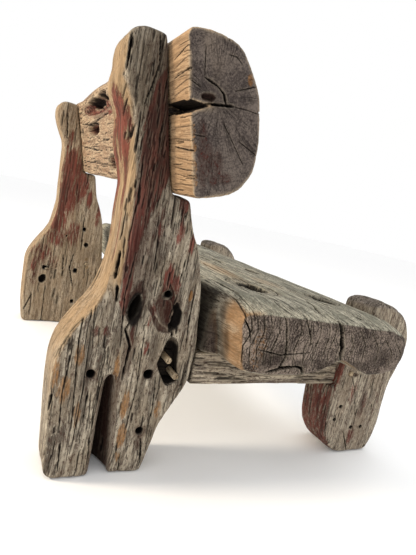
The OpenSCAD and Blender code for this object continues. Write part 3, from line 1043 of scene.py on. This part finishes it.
SLAB_TOP_CRACKS = [
    ([(-140, 30), (-260, 22), (-360, 14)], 10, 16), ([(-560, -90), (-649, -58)], 6, 9),
    ([(-400, -116), (-450, -142)], 5, 7), ([(-560, 20), (-420, 44), (-260, 60)], 5, 6),
    ([(-640, -190), (-440, -206)], 4, 5), ([(-330, -70), (60, -50)], 7, 8),
    ([(40, 60), (420, 30)], 8, 8), ([(60, -160), (480, -150)], 8, 8),
    ([(-260, -300), (140, -306)], 7, 8), ([(-600, 140), (-470, 146)], 5, 6),
    ([(-300, -150), (-100, -140)], 6, 6), ([(-644, -70), (-690, -92)], 2.4, 6),
    ([(-20, 90), (-220, 110)], 3, 6), ([(120, -250), (300, -246)], 4, 7),
    ([(200, 90), (420, 100)], 4, 7),
]


def wear_slab_end(t):
    """Wears down the near end, and breaks its lower edge into a notch under the cleft."""
    x, y, z = t.co.T
    out = fade(-x, 596, 684)
    z -= 12 * out * np.clip((z - SLAB_BASE) / SLAB_T, 0, 1)
    rise = np.interp(y, [-230, -185, -122, -90, -60, -20], [0, 20, 50, 26, 12, 0])
    lift = np.clip(SLAB_BASE + rise - z, 0, None)
    z += lift * fade(-x, 588, 620)
    t.find_normals()
    gap = fade(x, -580, -566) * (1 - fade(x, -470, -430))
    y += gap * np.clip(186 - y, 0, None) * (t.normal[:, 1] > 0.4)
    t.find_normals()
    corner = fade(-x, 600, 670)
    t.smooth(30, share=corner)
    t.smooth(60, share=corner * (fade(y, 70, 140) + fade(-y, 230, 320)))
    t.smooth(50, share=fade(-x, 480, 560) * fade(y, 100, 160) * fade(z, 390, 420))


def seat_slab(material):
    t = Timber("seat_slab", 5.0, grain=0, seed=4)
    t.knots = SLAB_KNOTS
    t.smooth(8)
    wear_slab_end(t)
    t.refine((t.co[:, 0] < -600) & (t.normal[:, 0] < -0.35), cuts=2)
    t.refine((t.co[:, 0] < -380) & (t.normal[:, 2] > 0.5))
    t.weather(wave=1.6, ridge=0.6)
    slab_end(t)
    slab_corner(t)
    slab_top(t)
    t.checks(UP, 150, 170, width=2.4)
    t.checks(FRONT, 20, 180, width=2.6)
    t.checks(BACK, 26, 140, width=2.6)
    t.checks(DOWN, 20, 180, width=3)
    return t.finish(material)


def slab_end(t):
    """The near end grain: the cleft, large cracks, upright checks and dark patches."""
    end = OUT_NEAR
    t.grooves(end, SLAB_END_CRACKS)
    for path in SLAB_END_CHECKS:
        t.groove(end, path, 1.8, 4, dark=0.8)
    for y in SLAB_END_UPRIGHT_CHECKS:
        t.groove(end, [(y, 426), (y - 6, 392), (y + 3, 356), (y - 4, 318)], 1.5, 4, dark=0.85)
    t.spots("dirt_and_shade", end, SLAB_END_DIRT, 0.95)
    t.groove(DOWN, [(-690, -121), (-590, -121)], 12, 10, dark=0.8)
    # Painted sunlight on the rear part of the end.
    t.spot("warm_and_sunlit", end, (150, 375), (40, 90), 0.9)


def slab_corner(t):
    """Painted sunlight on the orange corner at the back of the near end, and painted shade in the
    gap beside it.
    """
    back = t.facing(BACK)
    x = t.co[:, 0]
    # Painted sunlight on the back's orange corner.
    t.mark("warm_and_sunlit", back * fade(-x, 580, 640) * 0.85)
    # Painted shade in the gap between the back and the upright.
    t.mark("stain_and_shade", back * 0.45 * fade(x, -630, -580) * (x < -300))
    t.mark("crack_shade", back * 0.8 * fade(x, -584, -566) * (x < -300))
    t.spots("dirt_and_shade", BACK, SLAB_BACK_SHADE, 0.9)
    # Rust, which also adds to the corner's painted sunlight.
    t.spot("rust", OUT_NEAR, (120, 350), (26, 70), 0.5)
    t.spot("rust", BACK, (-640, 380), (40, 60), 0.4)


def slab_top(t):
    """Knots with rings, pits, warmer wood and long cracks."""
    for centre, size in SLAB_RINGED_KNOTS:
        reach = size * np.array([80, 68])
        t.pit(UP, centre, reach * 1.15, 4, name="dirt_and_shade", dark=0.55)
        for share, start, width in [(1.0, 0.5, 4.5), (0.62, 2.5, 3.5)]:
            turns = np.linspace(start, start + 4.8, 16)
            ring = centre + share * reach * np.stack([np.cos(turns), np.sin(turns)], axis=1)
            t.groove(UP, ring, width, 4, dark=0.9)
        t.pit(UP, centre, (50, 40 * size), 24, rim=0.8)
    for centre, radii, depth in SLAB_PITS:
        t.pit(UP, centre, radii, depth, rim=0.75)
    t.spot("warm_and_sunlit", UP, (-250, 10), (150, 44), 0.45)
    t.spot("warm_and_sunlit", UP, (-360, -100), (70, 40), 0.3)
    t.grooves(UP, SLAB_TOP_CRACKS)


def rail(node, seed, material):
    t = Timber(node, 3.0, grain=1, seed=seed)
    t.smooth(8)
    t.weather(wave=2.4, ridge=1.3)
    # Painted shade where the rail's back end meets the upright.
    t.mark("crack_shade", 0.94 * fade(t.co[:, 1], 184, 200))
    for face in (OUT_NEAR, OUT_FAR, DOWN, UP):
        t.checks(face, 46, 70, width=2.4, depth=4)
    return t.finish(material)


LEG_HOLES = [(-235, 146), (-296, 149), (-246, 116), (-285, 109), (-358, 82), (-395, 83),
             (-438, 14)]
LEG_CRACKS = [([(-334, 66), (-368, 0)], 3, 6), ([(-362, 140), (-366, 76)], 2.4, 4),
              ([(-300, 250), (-330, 200), (-360, 120)], 2, 4), ([(-410, 240), (-420, 120)], 2, 4)]
LEG_PAINT = [((-324, 193), (20, 50), 0.55), ((-376, 150), (16, 60), 0.5),
             ((-362, 54), (20, 44), 0.6), ((-430, 180), (14, 70), 0.5),
             ((-240, 200), (30, 40), 0.5)]


def near_leg(material):
    t = Timber("right_leg", 3.0, grain=2, seed=7)
    face = OUT_NEAR
    t.smooth(70)
    t.refit()
    t.refine(t.normal[:, 0] < -0.5)
    t.weather(wave=3.6, ridge=0.9)
    for centre in LEG_HOLES:
        t.pit(face, centre, (7, 6), 8)
    t.grooves(face, LEG_CRACKS)
    t.spots("paint", face, LEG_PAINT)
    t.pit(face, (-317, 247), (9, 7), 3, name="stain_and_shade", dark=0.7)
    t.mark("paint", t.facing(BACK) * 0.7 * (t.co[:, 2] < SLAB_BASE))
    t.spot("warm_and_sunlit", face, (-232, 110), (16, 70), 0.8)
    knob_top(t)
    t.checks(face, 50, 60)
    t.checks(OUT_FAR, 30, 90, width=2)
    t.checks(FRONT, 26, 90, width=2)
    t.checks(BACK, 20, 60, width=2)
    return t.finish(material)


def knob_top(t):
    """Roughens the domed end grain on a leg's knob, with checks that run out from its middle."""
    top = fade(t.normal[:, 2], 0.3, 0.7) * fade(t.co[:, 2], 400, 430)
    t.push(-3.0 * top * np.abs(t.noise.layered(t.co / 14, 3)))
    t.mark("end", fade(t.normal[:, 2], 0.1, 0.5) * fade(t.co[:, 2], 380, 420))
    middle = t.co[t.co[:, 2] > t.high[2] - 30].mean(0)[:2]
    for turn in t.rng.uniform(0, 2 * np.pi, 16):
        way = np.array([np.cos(turn), np.sin(turn)])
        t.groove(UP, [middle + 8 * way, middle + t.rng.uniform(30, 54) * way], 3, 6)


def far_leg(material):
    t = Timber("left_leg", 3.0, grain=2, seed=8)
    t.smooth(70)
    t.refit()
    t.weather(wave=3.6, ridge=0.9)
    t.mark("paint", t.facing(BACK) * 0.65 * (t.co[:, 2] < SLAB_BASE))
    t.spot("paint", OUT_FAR, (-350, 180), (24, 70), 0.55)
    knob_top(t)
    for face in (OUT_NEAR, OUT_FAR, FRONT, BACK):
        t.checks(face, 26, 80, width=2)
    return t.finish(material)


def pegs(node, grain, seed, material):
    """Whittled pegs: slightly uneven, with softened ends."""
    t = Timber(node, 1.4, grain=grain, seed=seed)
    t.smooth(3)
    t.push(0.35 * t.noise.layered(t.co / 9, 2) - 0.2)
    t.mark("end", fade(np.abs(t.normal[:, grain]), 0.7, 0.9))
    return t.finish(material)


# ---------------------------------------------------------------- room


def floor():
    """A pale floor, wide enough for every view."""
    half = 30.0
    corners = [(-half, -half, 0), (half, -half, 0), (half, half, 0), (-half, half, 0)]
    mesh = bpy.data.meshes.new("floor")
    mesh.from_pydata(corners, [], [(0, 1, 2, 3)])
    mesh.materials.append(Shader("floor_paper").surface((0.97, 0.97, 0.97, 1), 0.95))
    linked("floor", mesh)


def softbox(name, place, target, size, power, colour):
    light = bpy.data.lights.new(name, "AREA")
    light.shape = "DISK"
    light.size = size
    light.energy = power
    light.color = colour
    obj = linked(name, light)
    obj.location = place
    obj.rotation_euler = (Vector(target) - Vector(place)).to_track_quat("-Z", "Y").to_euler()


def lights():
    """White surroundings, an orange-tinted key from behind the seat and a cool fill above its
    front.
    """
    world = bpy.data.worlds.new("studio")
    world.use_nodes = True
    world.node_tree.nodes["Background"].inputs[0].default_value = (1.0, 1.0, 1.0, 1)
    world.node_tree.nodes["Background"].inputs[1].default_value = 1.0
    bpy.context.scene.world = world
    softbox("key", (0.25, 3.6, 2.2), (0, 0, 0.5), 0.7, 125, (1.0, 0.88, 0.72))
    softbox("top", (-0.6, -1.2, 3.6), (0, 0, 0.4), 2.4, 30, (0.93, 0.97, 1.0))


def camera():
    """The photograph's viewpoint: low, behind the sitter's right shoulder, a little tilted."""
    data = bpy.data.cameras.new("camera")
    data.sensor_width = 36
    data.lens = 27.05
    obj = linked("camera", data)
    obj.location = (-1.3647, 0.6354, 0.6111)
    obj.rotation_euler = np.radians((80.7922, -12.1464, -116.2463))
    bpy.context.scene.camera = obj


def build():
    """Makes every piece with its wood material."""
    upright_wood = wood_material("weathered_upright", UPRIGHT_COLOURS, block_checks, lines=0.9)
    log_wood = wood_material("weathered_log", LOG_COLOURS, ray_checks)
    slab_wood = wood_material("weathered_slab", SLAB_COLOURS, block_checks, specks=0.3)
    rail_wood = wood_material("weathered_rail", RAIL_COLOURS, block_checks)
    leg_wood = wood_material("weathered_leg", LEG_COLOURS, block_checks, lines=0.9)
    peg_wood = wood_material("whittled_peg", PEG_COLOURS, block_checks, lines=0.5)
    made = [
        (near_upright(upright_wood), "upright_wood"),
        (far_upright(upright_wood), "upright_wood"),
        (headrest_log(log_wood), "log_wood"),
        (seat_slab(slab_wood), "slab_wood"),
        (rail("right_rail", 5, rail_wood), "rail_wood"),
        (rail("left_rail", 6, rail_wood), "rail_wood"),
        (near_leg(leg_wood), "leg_wood"),
        (far_leg(leg_wood), "leg_wood"),
        (pegs("headrest_dowels", 2, 9, peg_wood), "peg_wood"),
        (pegs("rail_pegs", 0, 10, peg_wood), "peg_wood"),
        (pegs("leg_pegs", 0, 11, peg_wood), "peg_wood"),
    ]


build()
floor()
lights()
camera()
bpy.context.scene.view_settings.view_transform = "Standard"
